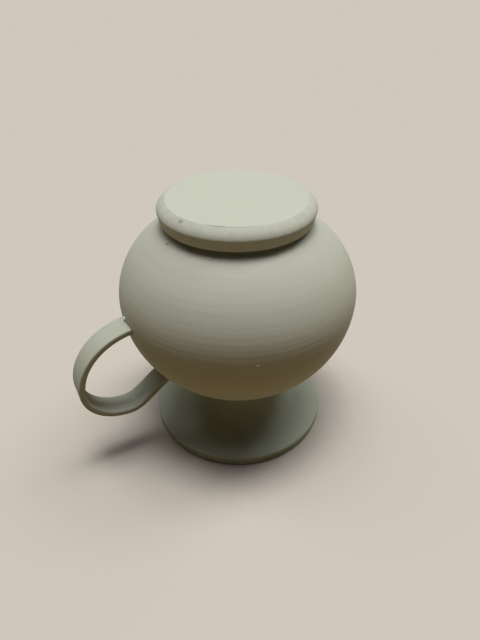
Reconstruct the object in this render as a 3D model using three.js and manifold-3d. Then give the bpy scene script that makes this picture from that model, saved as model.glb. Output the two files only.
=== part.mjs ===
// A small lidded milk jug, printed in matte sage plastic: a round belly on a flared foot,
// a flat lid with a rounded rim, and a strap handle low on one side for one finger.
// Millimetres, Z up. The origin is the centre of the foot's underside, on the jug's axis.
// The handle stands in the XZ plane, on the side of negative X.

import * as THREE from 'three';
import { mergeVertices } from 'three/addons/utils/BufferGeometryUtils.js';
import Module from 'manifold-3d';

// Foot: a flat disc edge, a hollow curve up to a slim neck, and a dished top for the belly.
const FOOT_RADIUS = 36.0;
const FOOT_HEIGHT = 23.18;
const FOOT_EDGE = 4.3;
const FOOT_ROUND = 0.6;
const NECK_RADIUS = 15.5;
const THROAT_HEIGHT = 5.18;
const SEAT_FLARE = 1.7;

// Belly: two half ellipses, one rising and one dropping from the widest line. A spigot under
// it goes into the foot.
const BELLY_RADIUS = 44.4;
const BELLY_RISE = 34.4;
const BELLY_DROP = 41.0;
const BELLY_WALL = 2.4;
const SPIGOT_RADIUS = 6.0;
const SPIGOT_LENGTH = 5.0;

// Mouth: the belly is cut level, which leaves a flat rim, and a short collar hangs down inside.
const MOUTH_RADIUS = 19.5;
const RIM_LAND = 3.34;
const RIM_ROUND = 0.5;
const COLLAR_WALL = 1.8;
const COLLAR_DEPTH = 4.0;

// Handle: a flat strap bent in one plane. Its middle line leaves the belly level, turns down
// in a quarter ellipse to its farthest point, turns back in a second one to its lowest point,
// and rises to the belly's underside. Distances count outwards from the belly's widest line,
// and drops count down from it.
const STRAP_WIDTH = 9.3;
const STRAP_THICKNESS = 2.3;
const STRAP_ROUND = 0.5;
const STRAP_TOP_DROP = 1.5;
const STRAP_BEND_INSIDE = 2.3;
const STRAP_REACH = 20.6;
const STRAP_REACH_DROP = 23.0;
const STRAP_LOWEST_OUT = 4.4;
const STRAP_LOWEST_DROP = 37.9;
const STRAP_LOWEST_PULL = 6.0;
const STRAP_ROOT_DROP = 27.0;
const STRAP_ROOT_SUNK = 5.1;
const STRAP_ROOT_SLOPE = 11.5;
const STRAP_ROOT_PULL = 8.6;

// Lid: a flat top that ends in a soft edge, a rounded rim, sides that draw in a little, and a
// ring that finds the mouth. The pulls shape the curve of the rim at its two ends.
const LID_OVERHANG = 3.76;
const LID_DRAW_IN = 0.9;
const LID_ROUND_WIDTH = 3.15;
const LID_ROUND_DEPTH = 3.4;
const LID_EDGE_PULL = 1.6;
const LID_EDGE_DROP = 0.75;
const LID_SIDE_PULL = 1.5;
const LID_THICKNESS = 7.1;
const LID_RING_WALL = 1.8;
const LID_RING_DEPTH = 4.7;
const LID_RING_ROUND = 0.5;

// Clearances between the pieces.
const GLUE_GAP = 0.3;
const LID_SEAT_GAP = 0.3;
const LID_RING_CLEARANCE = 0.4;

// How finely the curves are divided.
const TURN_STEPS = 60;
const ARC_STEPS = 10;
const SHORT_STEPS = 4;
const STRAP_STEPS = 14;
const BEVEL_STEPS = 2;

// Points nearer to each other than this are joined before a solid is cut.
const WELD_DISTANCE = 1e-4;

const QUARTER = Math.PI / 2;

const sage = {
  belly: new THREE.MeshStandardMaterial({ color: 0xafb0a0, roughness: 0.62, metalness: 0 }),
  foot: new THREE.MeshStandardMaterial({ color: 0xa6aa9b, roughness: 0.62, metalness: 0 }),
  handle: new THREE.MeshStandardMaterial({ color: 0xabae9e, roughness: 0.62, metalness: 0 }),
  lid: new THREE.MeshStandardMaterial({ color: 0xbdbeae, roughness: 0.55, metalness: 0 }),
};

const wasm = await Module();
wasm.setup();

// Turns a closed three.js geometry into a solid that can be cut.
function toSolid(geometry) {
  const bare = geometry.clone();
  bare.deleteAttribute('normal');
  bare.deleteAttribute('uv');
  const joined = mergeVertices(bare, WELD_DISTANCE);
  const vertProperties = new Float32Array(joined.attributes.position.array);
  const triVerts = new Uint32Array(joined.index.array);
  return new wasm.Manifold(new wasm.Mesh({ numProp: 3, vertProperties, triVerts }));
}

// Turns a cut solid back into a three.js geometry.
function toGeometry(solid) {
  const mesh = solid.getMesh();
  const geometry = new THREE.BufferGeometry();
  geometry.setAttribute('position', new THREE.BufferAttribute(mesh.vertProperties, 3));
  geometry.setIndex(new THREE.BufferAttribute(mesh.triVerts, 1));
  geometry.computeVertexNormals();
  return geometry;
}

// Spins a profile of radius and height points about the jug's axis.
function turned(profile) {
  const geometry = new THREE.LatheGeometry(profile, TURN_STEPS);
  geometry.rotateX(QUARTER);
  return geometry;
}

// Points along an ellipse, from one angle to another, both counted from straight outwards.
function arc(centreRadius, centreHeight, radiusX, radiusY, from, to, steps = ARC_STEPS) {
  const curve = new THREE.EllipseCurve(
    centreRadius,
    centreHeight,
    radiusX,
    radiusY,
    from,
    to,
    to < from,
  );
  return curve.getPoints(steps);
}

// Angle on an ellipse as wide as the belly, with its skin moved out by an offset, at a radius.
function angleAtRadius(radius, offset) {
  return Math.acos(radius / (BELLY_RADIUS + offset));
}

// The belly's widest line stands at the height that seats its underside on the foot's top edge.
const seatRadius = NECK_RADIUS + SEAT_FLARE;
const seatDrop = (BELLY_DROP + GLUE_GAP) * Math.sin(angleAtRadius(seatRadius, GLUE_GAP));
const bellyHeight = FOOT_HEIGHT + seatDrop;
const spigotEnd = bellyHeight - BELLY_DROP - SPIGOT_LENGTH;

// The rim stands where the belly's skin has the rim's outer radius.
const rimRadius = MOUTH_RADIUS + RIM_LAND;
const rimHeight = bellyHeight + BELLY_RISE * Math.sin(angleAtRadius(rimRadius, 0));

// A stretch of the belly's skin below the widest line.
function lowerSkin(from, to, offset, steps = ARC_STEPS) {
  const across = BELLY_RADIUS + offset;
  return arc(0, bellyHeight, across, BELLY_DROP + offset, from, to, steps);
}

// A stretch of the belly's skin above the widest line.
function upperSkin(from, to, offset, steps = ARC_STEPS) {
  const across = BELLY_RADIUS + offset;
  return arc(0, bellyHeight, across, BELLY_RISE + offset, from, to, steps);
}

// The hollow belly, with its mouth, its inner collar and the spigot under it.
function makeBowl() {
  const inside = -BELLY_WALL;
  const collarRadius = MOUTH_RADIUS + COLLAR_WALL;
  const collarEnd = rimHeight - COLLAR_DEPTH;
  const profile = [
    new THREE.Vector2(0, spigotEnd),
    new THREE.Vector2(SPIGOT_RADIUS, spigotEnd),
    ...lowerSkin(-angleAtRadius(SPIGOT_RADIUS, 0), 0, 0),
    ...upperSkin(0, angleAtRadius(rimRadius, 0), 0).slice(1),
    new THREE.Vector2(MOUTH_RADIUS + RIM_ROUND, rimHeight),
    new THREE.Vector2(MOUTH_RADIUS, rimHeight - RIM_ROUND),
    new THREE.Vector2(MOUTH_RADIUS, collarEnd),
    new THREE.Vector2(collarRadius, collarEnd),
    ...upperSkin(angleAtRadius(collarRadius, inside), 0, inside),
    ...lowerSkin(0, -QUARTER, inside).slice(1, -1),
    new THREE.Vector2(0, bellyHeight - BELLY_DROP - inside),
  ];
  return turned(profile);
}

// The flared foot, dished on top to the belly's underside, with a socket for the spigot.
function makeFoot() {
  const socketRadius = SPIGOT_RADIUS + GLUE_GAP;
  const socketFloor = spigotEnd - GLUE_GAP;
  const neckHeight = FOOT_HEIGHT - THROAT_HEIGHT;
  const flareRadius = FOOT_RADIUS - FOOT_ROUND;
  const flare = arc(
    flareRadius,
    neckHeight,
    flareRadius - NECK_RADIUS,
    neckHeight - FOOT_EDGE,
    -QUARTER,
    -2 * QUARTER,
  );
  const throat = arc(
    seatRadius,
    neckHeight,
    SEAT_FLARE,
    THROAT_HEIGHT,
    2 * QUARTER,
    QUARTER,
    SHORT_STEPS,
  );
  const seat = lowerSkin(
    -angleAtRadius(seatRadius, GLUE_GAP),
    -angleAtRadius(socketRadius, GLUE_GAP),
    GLUE_GAP,
    SHORT_STEPS,
  );
  const profile = [
    new THREE.Vector2(0, 0),
    new THREE.Vector2(flareRadius, 0),
    new THREE.Vector2(FOOT_RADIUS, FOOT_ROUND),
    new THREE.Vector2(FOOT_RADIUS, FOOT_EDGE - FOOT_ROUND),
    ...flare,
    ...throat.slice(1, -1),
    ...seat,
    new THREE.Vector2(socketRadius, socketFloor),
    new THREE.Vector2(0, socketFloor),
  ];
  return turned(profile);
}

// The strap's middle line, as points of distance from the axis and height.
function strapMiddleLine() {
  const bendStart = BELLY_RADIUS - STRAP_BEND_INSIDE;
  const reach = BELLY_RADIUS + STRAP_REACH;
  const lowestRadius = BELLY_RADIUS + STRAP_LOWEST_OUT;
  const reachHeight = bellyHeight - STRAP_REACH_DROP;
  const upperBend = arc(
    bendStart,
    reachHeight,
    reach - bendStart,
    STRAP_REACH_DROP - STRAP_TOP_DROP,
    QUARTER,
    0,
    STRAP_STEPS,
  );
  const lowerBend = arc(
    lowestRadius,
    reachHeight,
    reach - lowestRadius,
    STRAP_LOWEST_DROP - STRAP_REACH_DROP,
    0,
    -QUARTER,
    STRAP_STEPS,
  );
  const slope = THREE.MathUtils.degToRad(STRAP_ROOT_SLOPE);
  const skinAtRoot = BELLY_RADIUS * Math.sqrt(1 - (STRAP_ROOT_DROP / BELLY_DROP) ** 2);
  const lowest = new THREE.Vector2(lowestRadius, bellyHeight - STRAP_LOWEST_DROP);
  const root = new THREE.Vector2(skinAtRoot - STRAP_ROOT_SUNK, bellyHeight - STRAP_ROOT_DROP);
  const tail = new THREE.CubicBezierCurve(
    lowest,
    new THREE.Vector2(lowest.x - STRAP_LOWEST_PULL, lowest.y),
    new THREE.Vector2(
      root.x + STRAP_ROOT_PULL * Math.cos(slope),
      root.y - STRAP_ROOT_PULL * Math.sin(slope),
    ),
    root,
  );
  return [
    new THREE.Vector2(bendStart - STRAP_THICKNESS, bellyHeight - STRAP_TOP_DROP),
    ...upperBend,
    ...lowerBend.slice(1),
    ...tail.getPoints(STRAP_STEPS).slice(1),
  ];
}

// Moves each point of a line sideways by an offset, along the line's own normal.
function besideLine(points, offset) {
  return points.map((point, i) => {
    const before = points[Math.max(i - 1, 0)];
    const after = points[Math.min(i + 1, points.length - 1)];
    const along = after.clone().sub(before).normalize();
    return new THREE.Vector2(point.x + offset * along.y, point.y - offset * along.x);
  });
}

// The strap handle, with both ends shaped to the belly and a thin gap for the glue.
function makeHandle() {
  const middle = strapMiddleLine();
  const half = STRAP_THICKNESS / 2;
  const outline = [...besideLine(middle, half), ...besideLine(middle, -half).reverse()];
  const strap = new THREE.ExtrudeGeometry(new THREE.Shape(outline), {
    depth: STRAP_WIDTH - 2 * STRAP_ROUND,
    bevelEnabled: true,
    bevelThickness: STRAP_ROUND,
    bevelSize: STRAP_ROUND,
    bevelOffset: -STRAP_ROUND,
    bevelSegments: BEVEL_STEPS,
  });
  strap.translate(0, 0, STRAP_ROUND - STRAP_WIDTH / 2);
  strap.rotateX(QUARTER);
  strap.rotateZ(Math.PI);
  const belly = turned([
    ...lowerSkin(-QUARTER, 0, GLUE_GAP, 2 * ARC_STEPS),
    ...upperSkin(0, QUARTER, GLUE_GAP, 2 * ARC_STEPS).slice(1),
  ]);
  return toGeometry(toSolid(strap).subtract(toSolid(belly)));
}

// The lid, with its rounded rim and the ring under it that finds the mouth.
function makeLid() {
  const under = rimHeight + LID_SEAT_GAP;
  const top = under + LID_THICKNESS;
  const underRadius = rimRadius + LID_OVERHANG;
  const lidRadius = underRadius + LID_DRAW_IN;
  const topRadius = lidRadius - LID_ROUND_WIDTH;
  const ringOuter = MOUTH_RADIUS - LID_RING_CLEARANCE;
  const ringInner = ringOuter - LID_RING_WALL;
  const ringEnd = under - LID_RING_DEPTH;
  const roundStart = top - LID_ROUND_DEPTH;
  const rounding = new THREE.CubicBezierCurve(
    new THREE.Vector2(lidRadius, roundStart),
    new THREE.Vector2(lidRadius, roundStart + LID_SIDE_PULL),
    new THREE.Vector2(topRadius + LID_EDGE_PULL, top - LID_EDGE_DROP),
    new THREE.Vector2(topRadius, top),
  );
  const profile = [
    new THREE.Vector2(0, under),
    new THREE.Vector2(ringInner, under),
    new THREE.Vector2(ringInner, ringEnd),
    new THREE.Vector2(ringOuter - LID_RING_ROUND, ringEnd),
    new THREE.Vector2(ringOuter, ringEnd + LID_RING_ROUND),
    new THREE.Vector2(ringOuter, under),
    new THREE.Vector2(underRadius, under),
    ...rounding.getPoints(ARC_STEPS),
    new THREE.Vector2(0, top),
  ];
  return turned(profile);
}

// A named piece of the jug.
function piece(name, geometry, material) {
  const mesh = new THREE.Mesh(geometry, material);
  mesh.name = name;
  return mesh;
}

const jug = new THREE.Group();
jug.name = 'milk_jug';
jug.add(piece('foot', makeFoot(), sage.foot));
jug.add(piece('bowl', makeBowl(), sage.belly));
jug.add(piece('handle', makeHandle(), sage.handle));
jug.add(piece('lid', makeLid(), sage.lid));

export default jug;
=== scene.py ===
import math

import bpy
import numpy as np
from mathutils import Matrix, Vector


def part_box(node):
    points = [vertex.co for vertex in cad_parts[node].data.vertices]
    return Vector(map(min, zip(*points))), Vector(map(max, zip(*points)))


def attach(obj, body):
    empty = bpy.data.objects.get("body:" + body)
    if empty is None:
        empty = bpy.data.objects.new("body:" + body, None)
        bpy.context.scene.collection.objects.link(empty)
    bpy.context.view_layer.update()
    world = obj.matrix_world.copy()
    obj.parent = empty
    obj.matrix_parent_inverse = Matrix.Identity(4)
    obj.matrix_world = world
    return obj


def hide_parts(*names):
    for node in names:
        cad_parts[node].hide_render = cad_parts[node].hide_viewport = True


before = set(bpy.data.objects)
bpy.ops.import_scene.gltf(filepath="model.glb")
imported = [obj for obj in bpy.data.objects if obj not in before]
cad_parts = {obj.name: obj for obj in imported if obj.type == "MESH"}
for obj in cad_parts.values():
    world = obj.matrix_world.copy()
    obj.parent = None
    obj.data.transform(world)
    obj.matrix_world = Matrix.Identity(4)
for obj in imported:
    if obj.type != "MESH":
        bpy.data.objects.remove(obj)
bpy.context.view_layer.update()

# The viewpoint of the photograph: above the jug's front left, within reach of an arm, with the
# wide lens of a telephone. The numbers come from fitting the jug's outlines.
mm = 0.001
camera_turn = math.radians(29.2)
camera_dip = math.radians(36.847)
camera_roll = math.radians(0.3176)
camera_back = 154.865 * mm
camera_height = 161.664 * mm
camera_aside = 0.821 * mm
across = np.array([math.cos(camera_turn), -math.sin(camera_turn), 0.0])
ahead = np.array([math.sin(camera_turn), math.cos(camera_turn), 0.0])
upwards = np.array([0.0, 0.0, 1.0])
sight = ahead * math.cos(camera_dip) - upwards * math.sin(camera_dip)
over = ahead * math.sin(camera_dip) + upwards * math.cos(camera_dip)
stand = np.eye(4)
stand[:3, 0] = across * math.cos(camera_roll) - over * math.sin(camera_roll)
stand[:3, 1] = across * math.sin(camera_roll) + over * math.cos(camera_roll)
stand[:3, 2] = -sight
stand[:3, 3] = across * camera_aside - ahead * camera_back + upwards * camera_height
camera = bpy.data.objects.new("camera", bpy.data.cameras.new("camera"))
camera.data.lens = 27
camera.data.sensor_width = 36
camera.data.clip_start = 10 * mm
camera.matrix_world = Matrix(stand.tolist())
bpy.context.scene.collection.objects.link(camera)
bpy.context.scene.camera = camera
bpy.context.scene.view_settings.view_transform = "Standard"

# The foot: a broad flared disc that draws in to a slim neck, with a dished top for the belly.
# It is printed in matte sage plastic, standing, in level layers, and is glued to the belly.
foot_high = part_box("foot")[1]
bowl_low, bowl_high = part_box("bowl")
layer_pitch = 0.28 * mm
turn_steps = 216
corner_angle = math.radians(50)
foot_edge = 4.3 * mm
foot_round = 0.6 * mm
neck_radius = 15.5 * mm
throat_height = 5.18 * mm
seat_flare = 1.7 * mm
spigot_radius = 6.0 * mm
spigot_length = 5.0 * mm
belly_drop = 41.0 * mm
glue_line = 0.05 * mm
thinnest_layer = 0.02 * mm
close_by = 0.02 * mm
wander_size = 0.006 * mm
wander_layers = 400
wander_blend = [0.3, 0.5, 0.8, 0.5, 0.3]
layer_notch = 0.006 * mm
belly_radius = bowl_high.x
belly_height = bowl_low.z + spigot_length + belly_drop
rng = np.random.default_rng(41)
layer_wander = np.convolve(rng.normal(0.0, 1.0, wander_layers), wander_blend, mode="same")
layer_wander = wander_size * (layer_wander - layer_wander.min())


def arc(centre_radius, centre_height, reach, rise, start, stop, steps):
    """Points of radius and height on an ellipse: centre + (reach cos a, rise sin a), with the
    angle a going from start to stop, in degrees."""
    a = np.radians(np.linspace(start, stop, steps + 1))
    return np.stack([centre_radius + reach * np.cos(a), centre_height + rise * np.sin(a)], 1)


def under_belly(radius, gap):
    """Height a gap below the belly's skin: the widest line's height - (drop + gap) times the
    root of 1 - (radius / (belly radius + gap)) squared."""
    return belly_height - (belly_drop + gap) * np.sqrt(1 - (radius / (belly_radius + gap)) ** 2)


def in_layers(points, rings=(0.07, 0.5, 0.93), share=0.3):
    """A rising profile as a printer lays it, cut level into layers one pitch high. In a layer the
    rings stand at the given parts of its height. A ring's radius is the profile's own mixed with
    the one at the layer's middle, less the layer's own wander and a notch near its two edges."""
    low, high = points[0, 1], points[-1, 1]
    marks = np.arange(math.ceil(low / layer_pitch), high / layer_pitch) * layer_pitch
    edges = np.concatenate([[low], marks, [high]])
    edges = edges[np.concatenate([[True], np.diff(edges) > thinnest_layer])]
    middle = (edges[:-1] + edges[1:])[:, None] / 2
    part = np.array(rings)[None, :]
    height = edges[:-1, None] + np.diff(edges)[:, None] * part
    own = np.interp(height, points[:, 1], points[:, 0])
    step = np.interp(middle, points[:, 1], points[:, 0])
    wander = layer_wander[np.floor(middle / layer_pitch).astype(int) % len(layer_wander)]
    radius = (1 - share) * own + share * step - wander - layer_notch * np.abs(2 * part - 1)
    return np.stack([radius.ravel(), height.ravel()], 1)


def ring_quads(rings, around):
    """The quads between each ring of points and the next. Ring i has the points from i around
    onwards, and the last point of a ring is beside its first."""
    here = np.arange(around)
    beside = np.roll(here, -1)
    down = np.arange(rings - 1)[:, None] * around
    corners = [down + here, down + beside, down + beside + around, down + here + around]
    return np.stack(corners, 2).reshape(-1, 4)


def closed_faces(rings, around, start=0):
    """The faces of stacked rings with a pole at both ends. The point at start is the first pole,
    the rings follow it, and the other pole comes last."""
    here = start + 1 + np.arange(around)
    beside = np.roll(here, -1)
    ring = (rings - 1) * around
    first = np.stack([np.full_like(here, start), beside, here], 1)
    last_pole = np.full_like(here, start + rings * around + 1)
    last = np.stack([last_pole, ring + here, ring + beside], 1)
    quads = start + 1 + ring_quads(rings, around)
    return quads.tolist() + first.tolist() + last.tolist()


def turned(name, profile, sideways=0.0, upright=0.0):
    """Spins a profile about the jug's axis: at step j of the turn, ring i stands at (r cos t,
    r sin t, z) with t = 360 j / steps degrees, and each profile point's r and z may vary with t
    through the two added arrays. The first and last points lie on the axis, as poles."""
    t = np.linspace(0.0, 2 * math.pi, turn_steps, endpoint=False)
    radius = np.repeat(profile[1:-1, :1], turn_steps, 1) + sideways
    height = np.repeat(profile[1:-1, 1:], turn_steps, 1) + upright
    rings = np.stack([radius * np.cos(t), radius * np.sin(t), height], 2).reshape(-1, 3)
    points = np.concatenate([[[0.0, 0.0, profile[0, 1]]], rings, [[0.0, 0.0, profile[-1, 1]]]])
    return piece(name, points, closed_faces(len(profile) - 2, turn_steps))


def piece(name, points, faces):
    """Puts a mesh into the scene as a piece of the jug, shaded smooth but for its corners."""
    mesh = bpy.data.meshes.new(name)
    mesh.from_pydata(points.tolist(), [], faces)
    mesh.polygons.foreach_set("use_smooth", np.ones(len(mesh.polygons), bool))
    mesh.set_sharp_from_angle(angle=corner_angle)
    made = bpy.data.objects.new(name, mesh)
    bpy.context.scene.collection.objects.link(made)
    return made


def attribute(made, name, values):
    """Keeps one number for each point of a piece, for its material to read."""
    made.data.attributes.new(name, "FLOAT", "POINT").data.foreach_set(
        "value", np.asarray(values, np.float32))


def places(made):
    """The points of a piece's mesh, as an array of rows x, y, z."""
    points = np.zeros(len(made.data.vertices) * 3, np.float32)
    made.data.vertices.foreach_get("co", points)
    return points.reshape(-1, 3).astype(float)


class Shade:
    """A socket in a material's tree, so that shader maths reads as an expression. The operators
    add Math nodes, and node() adds any other node: its type, its settings, and then the values or
    links of its sockets."""

    def __init__(self, tree, socket=None):
        self.tree = tree
        self.socket = socket

    def node(self, kind, output=0, sockets=(), **settings):
        made = self.tree.nodes.new(kind)
        for setting, value in settings.items():
            setattr(made, setting, value)
        for key, value in dict(sockets).items():
            if isinstance(value, Shade):
                self.tree.links.new(made.inputs[key], value.socket)
            else:
                made.inputs[key].default_value = value
        return Shade(self.tree, made.outputs[output] if len(made.outputs) else None)

    def maths(self, operation, first, second=0.0):
        sockets = {0: first, 1: second}
        return self.node("ShaderNodeMath", sockets=sockets, operation=operation)

    def __add__(self, other):
        return self.maths("ADD", self, other)

    def __radd__(self, other):
        return self.maths("ADD", other, self)

    def __sub__(self, other):
        return self.maths("SUBTRACT", self, other)

    def __rsub__(self, other):
        return self.maths("SUBTRACT", other, self)

    def __mul__(self, other):
        return self.maths("MULTIPLY", self, other)

    def __rmul__(self, other):
        return self.maths("MULTIPLY", other, self)

    def __truediv__(self, other):
        return self.maths("DIVIDE", self, other)

    def __rtruediv__(self, other):
        return self.maths("DIVIDE", other, self)


# The looks of the print: the noises' scales per metre, their weights on the tone and on the
# roughness, and their relief in millimetres. They were matched to the photograph.
swell_scale = 1150.0
band_scale = 190.0
run_scale = 70.0
run_drift = 0.006
patch_scale = 75.0
grain_scale = 2600.0
streak_scale = 420.0
fleck_scale = 520.0
fleck_reach = 0.16
fleck_rarity = 0.955
stroke_pitch = 0.42 * mm
patch_tone = 0.34
layer_tone = 0.10
band_tone = 0.30
swell_tone = 0.25
run_tone = 0.30
fleck_tone = 0.5
patch_roughness = 0.10
layer_roughness = 0.08
bead_roughness = -0.06
bead_relief = 0.0040
swell_relief = 0.0046
run_relief = 0.0100
layer_relief = 0.0015
stroke_relief = 0.0060
grain_relief = 0.0022
fleck_relief = 0.0200
patch_relief = 0.020
# Near black painted into the lid's split and dent and onto the dark crumbs, as painted shade.
painted_shade_colour = (0.045, 0.042, 0.026, 1.0)


def printed_sage(name, deep, pale, stack="Z", streaks=0.0, roughness=0.66):
    """Matte sage plastic in layers that stack along one axis. Height over pitch gives the layer
    and the place in it. The bead is 1 - (2 place - 1) squared. Each layer has its own tone, groups
    of layers swell and shrink together, and light runs a few layers thick come and go along them.
    Level faces show slanting strokes instead. Streaks is how much the tone changes round the piece,
    alike at every height."""
    material = bpy.data.materials.new(name)
    material.use_nodes = True
    tree = material.node_tree
    tree.nodes.clear()
    start = Shade(tree)
    spot = start.node("ShaderNodeTexCoord", "Object")
    along = start.node("ShaderNodeSeparateXYZ", stack, sockets={0: spot})
    x = start.node("ShaderNodeSeparateXYZ", "X", sockets={0: spot})
    y = start.node("ShaderNodeSeparateXYZ", "Y", sockets={0: spot})
    count = along / layer_pitch
    layer = count.maths("FLOOR", count)
    inside = 2 * count.maths("FRACT", count) - 1
    bead = 1 - inside * inside
    tone = start.node("ShaderNodeTexWhiteNoise", "Value", noise_dimensions="1D",
                      sockets={"W": layer})
    swell = start.node("ShaderNodeTexNoise", "Fac", noise_dimensions="1D",
                       sockets={"W": along, "Scale": swell_scale, "Detail": 2.0,
                                "Roughness": 0.6})
    band = start.node("ShaderNodeTexNoise", "Fac", noise_dimensions="1D",
                      sockets={"W": along, "Scale": band_scale, "Detail": 1.0})
    run = start.node("ShaderNodeTexNoise", "Fac", noise_dimensions="4D",
                     sockets={"Vector": spot, "W": layer * run_drift, "Scale": run_scale,
                              "Detail": 2.0})
    patch = start.node("ShaderNodeTexNoise", "Fac",
                       sockets={"Vector": spot, "Scale": patch_scale, "Detail": 4.0})
    grain = start.node("ShaderNodeTexNoise", "Fac",
                       sockets={"Vector": spot, "Scale": grain_scale, "Detail": 2.0})
    cell = start.node("ShaderNodeTexVoronoi", "Distance",
                      sockets={"Vector": spot, "Scale": fleck_scale})
    cell_colour = start.node("ShaderNodeTexVoronoi", "Color",
                             sockets={"Vector": spot, "Scale": fleck_scale})
    chance = start.node("ShaderNodeSeparateColor", "Red", sockets={0: cell_colour})
    near = start.maths("LESS_THAN", cell, fleck_reach)
    fleck = near * start.maths("GREATER_THAN", chance, fleck_rarity)
    level = start.node("ShaderNodeAttribute", "Fac", attribute_name="level")
    # This attribute paints shade: the colour goes near black in the lid's split and dent and on
    # dark crumbs.
    painted_shade = start.node("ShaderNodeAttribute", "Fac", attribute_name="painted_shade")
    slant = (x + y) / (stroke_pitch * math.sqrt(2))
    stroke = 2 * slant.maths("FRACT", slant) - 1
    stroke = 1 - stroke * stroke

    mix = 0.5 + patch_tone * (patch - 0.5) + layer_tone * (tone - 0.5) + band_tone * (band - 0.5)
    mix = mix + swell_tone * (swell - 0.5) + run_tone * (run - 0.5) * (1 - level)
    mix = mix + fleck_tone * fleck
    if streaks:
        level_spot = start.node("ShaderNodeCombineXYZ", sockets={"X": x, "Y": y})
        streak = start.node("ShaderNodeTexNoise", "Fac",
                            sockets={"Vector": level_spot, "Scale": streak_scale, "Detail": 2.0})
        mix = mix + streaks * (streak - 0.5) * (1 - level)
    colour = start.node("ShaderNodeMix", 2, data_type="RGBA",
                        sockets={0: mix, 6: (*deep, 1.0), 7: (*pale, 1.0)})
    # Painted shade laid over the plastic's tone.
    colour = start.node("ShaderNodeMix", 2, data_type="RGBA",
                        sockets={0: painted_shade, 6: colour, 7: painted_shade_colour})
    rough = roughness + patch_roughness * (patch - 0.5) + layer_roughness * (tone - 0.5)
    rough = rough + bead_roughness * bead
    upright = bead_relief * bead + swell_relief * swell + run_relief * run + layer_relief * tone
    height = upright * (1 - level) + stroke_relief * stroke * level
    height = height + grain_relief * grain + fleck_relief * fleck + patch_relief * patch
    bump = start.node("ShaderNodeBump", sockets={"Strength": 1.0, "Distance": mm,
                                                 "Height": height})
    shader = start.node("ShaderNodeBsdfPrincipled", sockets={
        "Base Color": colour, "Roughness": rough, "Normal": bump,
        "IOR": 1.45, "Specular IOR Level": 0.2})
    start.node("ShaderNodeOutputMaterial", sockets={"Surface": shader})
    return material


flare_steps = 60
throat_steps = 16
seat_points = 8
underside_points = 9
underside_inner = 0.1
underside_outer = 0.985
seat_radius = neck_radius + seat_flare
neck_height = foot_high.z - throat_height
flare_radius = foot_high.x - foot_round
foot_rise = np.concatenate([
    [[flare_radius, 0.0], [foot_high.x, foot_round], [foot_high.x, foot_edge - foot_round]],
    arc(flare_radius, neck_height, flare_radius - neck_radius, neck_height - foot_edge,
        -90, -180, flare_steps),
    arc(seat_radius, neck_height, seat_flare, throat_height, 180, 90, throat_steps)[1:],
])
seat_reach = np.linspace(seat_radius, spigot_radius + glue_line, seat_points)
seat = np.stack([seat_reach, under_belly(seat_reach, glue_line)], 1)
socket_floor = bowl_low.z - glue_line
underside = np.linspace(underside_inner, underside_outer, underside_points) * foot_high.x
foot_profile = np.concatenate([
    [[0.0, 0.0]],
    np.stack([underside, np.zeros(underside_points)], 1),
    in_layers(foot_rise),
    seat,
    [[spigot_radius + glue_line, socket_floor], [0.0, socket_floor]],
])
foot = turned("foot_printed", foot_profile)
foot_points = places(foot)
attribute(foot, "level", foot_points[:, 2] < close_by)
foot.data.materials.append(printed_sage("sage_foot", (0.43, 0.465, 0.37), (0.50, 0.54, 0.435)))
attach(foot, "jug")
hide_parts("foot")

# The belly: a hollow round pot with a spigot under it for the foot, a level rim, and a short
# collar inside the mouth. It is printed in one piece, standing, and its lines run level.
belly_rise = 34.4 * mm
belly_wall = 2.4 * mm
mouth_radius = 19.5 * mm
rim_land = 3.34 * mm
rim_round = 0.5 * mm
collar_wall = 1.8 * mm
collar_depth = 4.0 * mm
rim_bevel = 0.15 * mm
rim_level = 0.03 * mm
shoulder_start = 86.2 * mm
below_steps = 160
above_steps = 120
inside_above_steps = 24
inside_below_steps = 36
rim_radius = mouth_radius + rim_land
collar_radius = mouth_radius + collar_wall
rim_height = bowl_high.z
spigot_angle = math.degrees(math.acos(spigot_radius / belly_radius))
rim_angle = math.degrees(math.acos(rim_radius / belly_radius))
inner_reach = belly_radius - belly_wall
collar_angle = math.degrees(math.acos(collar_radius / inner_reach))
below = arc(0, belly_height, belly_radius, belly_drop, -spigot_angle, 0, below_steps)
above = arc(0, belly_height, belly_radius, belly_rise, 0, rim_angle, above_steps)
skin = np.concatenate([below, above[1:]])
side = skin[skin[:, 1] < shoulder_start]
shoulder = skin[skin[:, 1] >= side[-1, 1]]
inner_above = arc(0, belly_height, inner_reach, belly_rise - belly_wall, collar_angle, 0,
                  inside_above_steps)
inner_below = arc(0, belly_height, inner_reach, belly_drop - belly_wall, 0, -90,
                  inside_below_steps)
bowl_profile = np.concatenate([
    [[0.0, bowl_low.z], [spigot_radius * 0.5, bowl_low.z], [spigot_radius, bowl_low.z]],
    in_layers(side, rings=(0.5,), share=0.0),
    in_layers(shoulder),
    [[rim_radius, rim_height], [mouth_radius + rim_round, rim_height],
     [mouth_radius + rim_bevel, rim_height - rim_bevel], [mouth_radius, rim_height - rim_round],
     [mouth_radius, rim_height - collar_depth], [collar_radius, rim_height - collar_depth]],
    inner_above,
    inner_below[1:],
])
bowl = turned("bowl_printed", bowl_profile)
bowl_points = places(bowl)
bowl_level = np.isclose(bowl_points[:, 2], rim_height, atol=rim_level)
attribute(bowl, "level", bowl_level)
bowl.data.materials.append(printed_sage("sage_bowl", (0.43, 0.44, 0.365), (0.50, 0.51, 0.43)))
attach(bowl, "jug")
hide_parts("bowl")

# The specks on the belly: crumbs of plastic that the nozzle left round the lid and one at the
# widest line, painted paler than the belly as painted light, and some near black as painted shade.
# A drop of glue, with a dark pinhole beside it, sits over the handle's upper joint. The pinhole is
# a lens painted near black, as painted shade, and the glue is painted pale, partly as a painted
# highlight.
speck_rows = 7
speck_turns = 12
speck_points = (speck_rows - 2) * speck_turns + 2
crumb_painted_shade = 0.9


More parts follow.
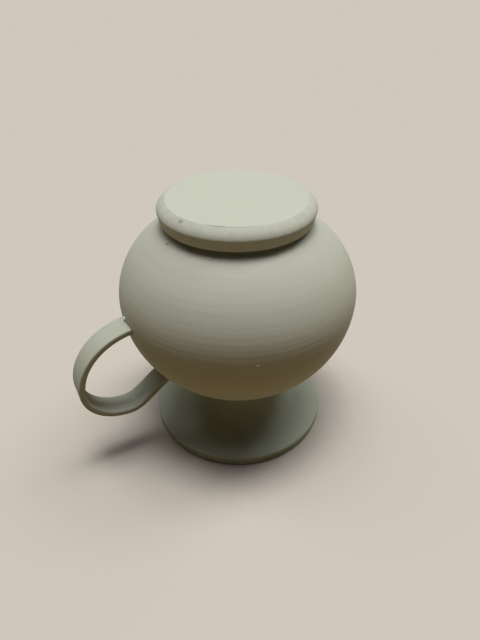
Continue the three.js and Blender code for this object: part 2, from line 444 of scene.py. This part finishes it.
def lens_at(azimuth, radius, height, long, high, out):
    """A small lens on the belly: the ball's point at latitude u and longitude v, drawn out along
    the turn, the height and the way out, and stood on its place."""
    u = np.radians(np.linspace(-90, 90, speck_rows))[1:-1, None]
    v = np.linspace(0, 2 * math.pi, speck_turns, endpoint=False)[None, :]
    lens = np.stack([np.cos(u) * np.cos(v), np.cos(u) * np.sin(v), np.sin(u) + 0 * v], 2)
    lens = np.concatenate([[[0, 0, -1.0]], lens.reshape(-1, 3), [[0, 0, 1.0]]])
    t = math.radians(azimuth)
    outward = np.array([math.cos(t), math.sin(t), 0.0])
    aside = np.array([-math.sin(t), math.cos(t), 0.0])
    centre = outward * radius + upwards * height
    return (centre + lens[:, :1] * outward * out + lens[:, 1:2] * aside * long
            + lens[:, 2:] * upwards * high)


def lenses(name, rows):
    """One mesh of several lenses. A row gives the azimuth in degrees and then, in millimetres, the
    radius, the height, and how long, how high and how far out the lens is."""
    points = [lens_at(row[0], *(size * mm for size in row[1:6])) for row in rows]
    faces = []
    for number in range(len(rows)):
        faces += closed_faces(speck_rows - 2, speck_turns, number * speck_points)
    return piece(name, np.concatenate(points), faces)


# Each row ends with 1 for a crumb painted near black, as painted shade, and 0 for a pale one.
crumbs = [
    (185.5, 27.5, 88.30, 0.40, 0.20, 0.30, 1), (184.9, 26.2, 88.95, 0.35, 0.16, 0.28, 1),
    (191.4, 27.0, 88.60, 0.50, 0.16, 0.32, 0), (200.7, 26.9, 88.65, 0.35, 0.14, 0.25, 0),
    (211.8, 26.8, 88.70, 0.40, 0.14, 0.25, 0), (222.3, 27.3, 88.45, 0.75, 0.22, 0.36, 0),
    (268.0, 27.3, 88.35, 0.40, 0.18, 0.26, 0), (278.8, 26.9, 88.60, 0.45, 0.18, 0.28, 0),
    (292.0, 27.1, 88.50, 0.40, 0.16, 0.26, 0), (307.6, 27.3, 88.40, 0.45, 0.18, 0.30, 0),
    (249.0, 44.35, 60.60, 0.55, 0.17, 0.16, 0), (181.2, 44.36, 61.55, 0.55, 0.42, 0.14, 1),
]
specks = lenses("print_specks", crumbs)
# Dark crumbs and the pinhole get their painted shade through this attribute.
attribute(specks, "painted_shade", np.repeat([crumb_painted_shade * crumb[6] for crumb in crumbs], speck_points))
# The crumbs' plastic is painted paler than the belly's, as painted light where they catch the
# lamps.
specks.data.materials.append(printed_sage("sage_specks_painted_light_and_shade", (0.56, 0.57, 0.49), (0.66, 0.67, 0.59)))
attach(specks, "jug")
glue = lenses("glue_drop", [(178.4, 44.45, 62.15, 0.60, 0.50, 0.50)])
# The glue's pale colour is partly a painted highlight.
glue.data.materials.append(
    printed_sage("pale_glue_painted_highlight", (0.80, 0.80, 0.76), (0.90, 0.90, 0.86), roughness=0.30))
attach(glue, "jug")

# The handle: a flat strap bent into a loop for one finger, printed lying on its side, so its
# lines run along the strap. Both ends are shaped to the belly and glued into its skin.
strap_width = 9.3 * mm
strap_thickness = 2.3 * mm
strap_round = 0.55 * mm
strap_top_drop = 1.5 * mm
strap_bend_inside = 2.3 * mm
strap_reach = 20.6 * mm
strap_reach_drop = 23.0 * mm
strap_lowest_out = 4.4 * mm
strap_lowest_drop = 37.9 * mm
strap_lowest_pull = 6.0 * mm
strap_root_drop = 27.0 * mm
strap_root_sunk = 5.1 * mm
strap_root_slope = math.radians(11.5)
strap_root_pull = 8.6 * mm
strap_seat = 1.2 * mm
strap_stations = 260
strap_bend_steps = 160
strap_tail_steps = 120
strap_wide_points = 9
strap_thick_points = 4
strap_corner_steps = 5
bend_start = belly_radius - strap_bend_inside
reach = belly_radius + strap_reach
lowest_radius = belly_radius + strap_lowest_out
reach_height = belly_height - strap_reach_drop
lowest = np.array([lowest_radius, belly_height - strap_lowest_drop])
root = np.array([
    belly_radius * math.sqrt(1 - (strap_root_drop / belly_drop) ** 2) - strap_root_sunk,
    belly_height - strap_root_drop])
near_lowest = lowest - [strap_lowest_pull, 0.0]
near_root = root + strap_root_pull * np.array([math.cos(strap_root_slope),
                                               -math.sin(strap_root_slope)])


def curve(s, start, pull, second_pull, stop):
    """Points of a cubic curve at the places s from 0 to 1: (1 - s) cubed start + 3 s (1 - s)
    squared pull + 3 s squared (1 - s) second pull + s cubed stop."""
    return ((1 - s) ** 3 * start + 3 * s * (1 - s) ** 2 * pull
            + 3 * s ** 2 * (1 - s) * second_pull + s ** 3 * stop)


tail_places = np.linspace(0, 1, strap_tail_steps + 1)[1:, None]
middle = np.concatenate([
    arc(bend_start, reach_height, reach - bend_start, strap_reach_drop - strap_top_drop,
        90, 0, strap_bend_steps),
    arc(lowest_radius, reach_height, reach - lowest_radius,
        strap_lowest_drop - strap_reach_drop, 0, -90, strap_bend_steps)[1:],
    curve(tail_places, lowest, near_lowest, near_root, root),
])


def swept(name, line, outline):
    """Carries a closed outline along a line in the XZ plane: the point of the outline at
    (side, thick) stands at the line's point + side along Y + thick along the line's own
    left-hand normal. The line's radius points to -X, and the two ends are closed."""
    along = np.gradient(line, axis=0)
    along /= np.linalg.norm(along, axis=1, keepdims=True)
    normal = np.stack([-along[:, 1], along[:, 0]], 1)
    flat = line[:, None, :] + outline[None, :, 1:] * normal[:, None, :]
    sides = np.repeat(outline[None, :, 0], len(line), 0)
    points = np.stack([-flat[..., 0], sides, flat[..., 1]], 2).reshape(-1, 3)
    around = len(outline)
    first_end = np.arange(around)
    last_end = (len(line) - 1) * around + first_end
    ends = [first_end[::-1].tolist(), last_end.tolist()]
    return piece(name, points, ring_quads(len(line), around).tolist() + ends)


drop = np.where(middle[:, 1] > belly_height, belly_rise, belly_drop)
size = np.hypot(middle[:, 0] / (belly_radius - strap_seat),
                (middle[:, 1] - belly_height) / (drop - strap_seat))
outside = middle[size > 1]
length = np.concatenate([[0], np.cumsum(np.linalg.norm(np.diff(outside, axis=0), axis=1))])
even = np.linspace(0, length[-1], strap_stations)
strap_line = np.stack([np.interp(even, length, outside[:, 0]),
                       np.interp(even, length, outside[:, 1])], 1)
half_width = strap_width / 2 - strap_round
half_thick = strap_thickness / 2 - strap_round
wide_flat = np.linspace(-half_width, half_width, strap_wide_points)
thick_flat = np.linspace(-half_thick, half_thick, strap_thick_points)
a = np.radians(np.linspace(0, 90, strap_corner_steps + 1))[1:-1]
half_outline = np.concatenate([
    np.stack([wide_flat, np.full(strap_wide_points, -strap_thickness / 2)], 1),
    [half_width, -half_thick] + strap_round * np.stack([np.sin(a), -np.cos(a)], 1),
    np.stack([np.full(strap_thick_points, strap_width / 2), thick_flat], 1),
    [half_width, half_thick] + strap_round * np.stack([np.cos(a), np.sin(a)], 1),
])
strap_outline = np.concatenate([half_outline, -half_outline])
handle = swept("handle_printed", strap_line, strap_outline)
handle_points = places(handle)
attribute(handle, "level", np.abs(handle_points[:, 1]) > strap_width / 2 - close_by)
handle.data.materials.append(
    printed_sage("sage_handle", (0.37, 0.385, 0.31), (0.43, 0.445, 0.365), stack="Y"))
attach(handle, "jug")
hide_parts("handle")

# The lid: a flat disc with a rounded rim and sides that draw in, and a ring beneath that drops
# into the mouth. It is printed as one piece; a layer has split a little where the top ends. The
# split and a small dent on the top are sunk a little and painted near black, as painted shade.
lid_low, lid_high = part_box("lid")
lid_thickness = 7.1 * mm
lid_overhang = 3.76 * mm
lid_edge_width = 3.15 * mm
lid_round_depth = 3.4 * mm
lid_ring_wall = 1.8 * mm
lid_ring_clearance = 0.4 * mm
lid_ring_round = 0.5 * mm
lid_under_margin = 0.6 * mm
lid_pull_out = 1.6 * mm
lid_pull_down = 0.75 * mm
lid_pull_up = 1.5 * mm
lid_round_steps = 80
lid_layer_step = 0.4
lid_top_fine = 0.7 * mm
lid_top_centre = 1.5 * mm
lid_fine_points = 12
lid_coarse_points = 16
lid_top_depth = 0.3 * mm
wave_count = 14
wave_fewest = 7
wave_most = 60
wave_size = 0.010 * mm
crack_inset = 0.25 * mm
crack_start = 217
crack_fade_in = 6
crack_stop = 266
crack_fade_out = 22
crack_deepest = 227.5
crack_deep_turn = 7.5
crack_depth_reach = 0.5 * mm
crack_half_width = 0.18 * mm
crack_wobble = 0.06 * mm
crack_wobbles = 31
crack_shallow = 0.55
crack_sink = 0.22 * mm
dent_radius = 25.5 * mm
dent_reach = 0.5 * mm
dent_azimuth = 197.8
dent_turn = 1.6
dent_depth_reach = 2.5 * mm
dent_sink = 0.25 * mm
dent_painted_shade = 0.6
lid_radius = lid_high.x
lid_top = lid_high.z
lid_under = lid_top - lid_thickness
lid_under_radius = rim_radius + lid_overhang
lid_edge_radius = lid_radius - lid_edge_width
crack_radius = lid_edge_radius - crack_inset
ring_outer = mouth_radius - lid_ring_clearance
ring_inner = ring_outer - lid_ring_wall
rounding = curve(
    np.linspace(1, 0, lid_round_steps + 1)[:, None],
    np.array([lid_edge_radius, lid_top]),
    np.array([lid_edge_radius + lid_pull_out, lid_top - lid_pull_down]),
    np.array([lid_radius, lid_top - lid_round_depth + lid_pull_up]),
    np.array([lid_radius, lid_top - lid_round_depth]))
lid_rise = np.concatenate([[[lid_under_radius, lid_under]], rounding])
lid_side = in_layers(lid_rise, share=lid_layer_step)
lid_flat = np.concatenate([
    np.linspace(lid_edge_radius - close_by, lid_edge_radius - lid_top_fine, lid_fine_points),
    np.linspace(lid_edge_radius - lid_top_fine, lid_top_centre, lid_coarse_points)[1:],
])
lid_profile = np.concatenate([
    [[0.0, lid_under], [ring_inner * 0.5, lid_under], [ring_inner, lid_under],
     [ring_inner, lid_low.z], [ring_outer - lid_ring_round, lid_low.z],
     [ring_outer, lid_low.z + lid_ring_round], [ring_outer, lid_under],
     [lid_under_radius - lid_under_margin, lid_under]],
    lid_side,
    np.stack([lid_flat, np.full(len(lid_flat), lid_top)], 1),
    [[0.0, lid_top]],
])
t = np.linspace(0, 2 * math.pi, turn_steps, endpoint=False)
waves = rng.integers(wave_fewest, wave_most, wave_count)
swing = np.sin(waves[:, None] * t + rng.uniform(0, 2 * math.pi, wave_count)[:, None])
swing = (swing * rng.uniform(0.3, 1.0, wave_count)[:, None]).sum(0)
swing = wave_size * swing
on_side = (lid_profile[1:-1, 0] > lid_edge_radius) & (lid_profile[1:-1, 1] > lid_under)
lid_sideways = on_side[:, None] * swing[None, :]
azimuth = np.degrees(t) % 360


def hump(values, centre, reach):
    """1 at the centre and fading to both sides: e to the power of -((value - centre) / reach)
    squared."""
    return np.exp(-((values - centre) / reach) ** 2)


# The split's mask: it sinks the split and also paints shade into it.
crack_length = (np.clip((azimuth - crack_start) / crack_fade_in, 0, 1)
                * np.clip((crack_stop - azimuth) / crack_fade_out, 0, 1))
crack_deep = hump(azimuth, crack_deepest, crack_deep_turn)
crack_depth = np.maximum(crack_shallow * crack_length, crack_deep)
crack_line = crack_radius + crack_wobble * np.sin(np.radians(azimuth) * crack_wobbles)
crack_width = hump(lid_profile[1:-1, :1], crack_line, crack_half_width)
crack_width = crack_width * (lid_profile[1:-1, 1:] > lid_top - crack_depth_reach)
painted_shade = crack_width * crack_depth
# A small dent on the top, sunk and painted darker, as painted shade.
dent = (hump(azimuth, dent_azimuth, dent_turn)[None, :]
        * hump(lid_profile[1:-1, :1], dent_radius, dent_reach))
dent = dent * (lid_profile[1:-1, 1:] > lid_top - dent_depth_reach)
lid = turned("lid_printed", lid_profile, sideways=lid_sideways,
             upright=-crack_sink * painted_shade - dent_sink * dent)
lid_points = places(lid)
lid_reach = np.hypot(lid_points[:, 0], lid_points[:, 1])
lid_level = (lid_points[:, 2] > lid_top - lid_top_depth) & (lid_reach < lid_edge_radius)
lid_level |= np.isclose(lid_points[:, 2], lid_under, atol=close_by)
attribute(lid, "level", lid_level)
# The split and the dent are painted dark through this attribute, as painted shade.
attribute(lid, "painted_shade", np.concatenate([[0], (painted_shade + dent_painted_shade * dent).ravel(), [0]]))
lid.data.materials.append(
    printed_sage("sage_lid", (0.43, 0.44, 0.365), (0.50, 0.51, 0.43), streaks=1.6))
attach(lid, "lid")
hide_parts("lid")

# The room: a plain pale floor and soft light from high up, most of it from straight above and
# from behind the jug's right side. The floor throws back less light than it shows to the camera.
floor_half = 15
floor_drop = 0.03 * mm
lamp_angle = math.radians(18)
floor_mesh = bpy.data.meshes.new("floor")
floor_mesh.from_pydata([(-floor_half, -floor_half, -floor_drop),
                        (floor_half, -floor_half, -floor_drop),
                        (floor_half, floor_half, -floor_drop),
                        (-floor_half, floor_half, -floor_drop)], [], [(0, 1, 2, 3)])
floor = bpy.data.objects.new("floor", floor_mesh)
bpy.context.scene.collection.objects.link(floor)


def looked_at(tree):
    """1 for what the camera sees, also in a mirror or through glass, and 0 for the light that
    reaches other surfaces."""
    camera_ray = tree.node("ShaderNodeLightPath", "Is Camera Ray")
    glossy_ray = tree.node("ShaderNodeLightPath", "Is Glossy Ray")
    clear_ray = tree.node("ShaderNodeLightPath", "Is Transmission Ray")
    return tree.maths("MAXIMUM", tree.maths("MAXIMUM", camera_ray, glossy_ray), clear_ray)


floor_material = bpy.data.materials.new("pale_floor")
floor_material.use_nodes = True
floor_material.node_tree.nodes.clear()
ground = Shade(floor_material.node_tree)
floor_tint = ground.node("ShaderNodeMix", 2, data_type="RGBA", sockets={
    0: looked_at(ground), 6: (0.22, 0.15, 0.062, 1.0), 7: (0.50, 0.455, 0.40, 1.0)})
matt = ground.node("ShaderNodeBsdfDiffuse", sockets={"Color": floor_tint})
ground.node("ShaderNodeOutputMaterial", sockets={"Surface": matt})
floor_mesh.materials.append(floor_material)


def soft_lamp(name, power, elevation, bearing):
    """A far soft lamp as wide as 18 degrees of sky. Its direction is cos e (ahead cos b + across
    sin b) + upwards sin e, with the bearing b counted from straight ahead of the camera."""
    e, b = math.radians(elevation), math.radians(bearing)
    source = math.cos(e) * (ahead * math.cos(b) + across * math.sin(b)) + upwards * math.sin(e)
    beside = np.cross([0.0, 1.0, 0.0], source)
    beside = beside / np.linalg.norm(beside)
    lamp = bpy.data.objects.new(name, bpy.data.lights.new(name, "SUN"))
    lamp.data.energy = power
    lamp.data.angle = lamp_angle
    aim = np.eye(4)
    aim[:3, :3] = np.stack([beside, np.cross(source, beside), source], 1)
    lamp.matrix_world = Matrix(aim.tolist())
    bpy.context.scene.collection.objects.link(lamp)


soft_lamp("lamp_over", 1.66, 90, 0)
soft_lamp("lamp_right", 0.82, 75, 60)
soft_lamp("lamp_left", 0.52, 75, 300)
soft_lamp("lamp_near_right", 0.17, 75, 120)
soft_lamp("lamp_near_left", 0.13, 75, 240)
soft_lamp("lamp_side", 0.56, 55, 60)
soft_lamp("lamp_far_side", 0.20, 55, 300)
soft_lamp("lamp_back", 0.12, 32, 45)

world = bpy.data.worlds.new("room")
world.use_nodes = True
bpy.context.scene.world = world
world.node_tree.nodes.clear()
air = Shade(world.node_tree)
tint = air.node("ShaderNodeMix", 2, data_type="RGBA", sockets={
    0: looked_at(air), 6: (0.01, 0.01, 0.01, 1.0), 7: (0.63, 0.57, 0.50, 1.0)})
sky = air.node("ShaderNodeBackground", sockets={"Color": tint, "Strength": 1.0})
air.node("ShaderNodeOutputWorld", sockets={"Surface": sky})
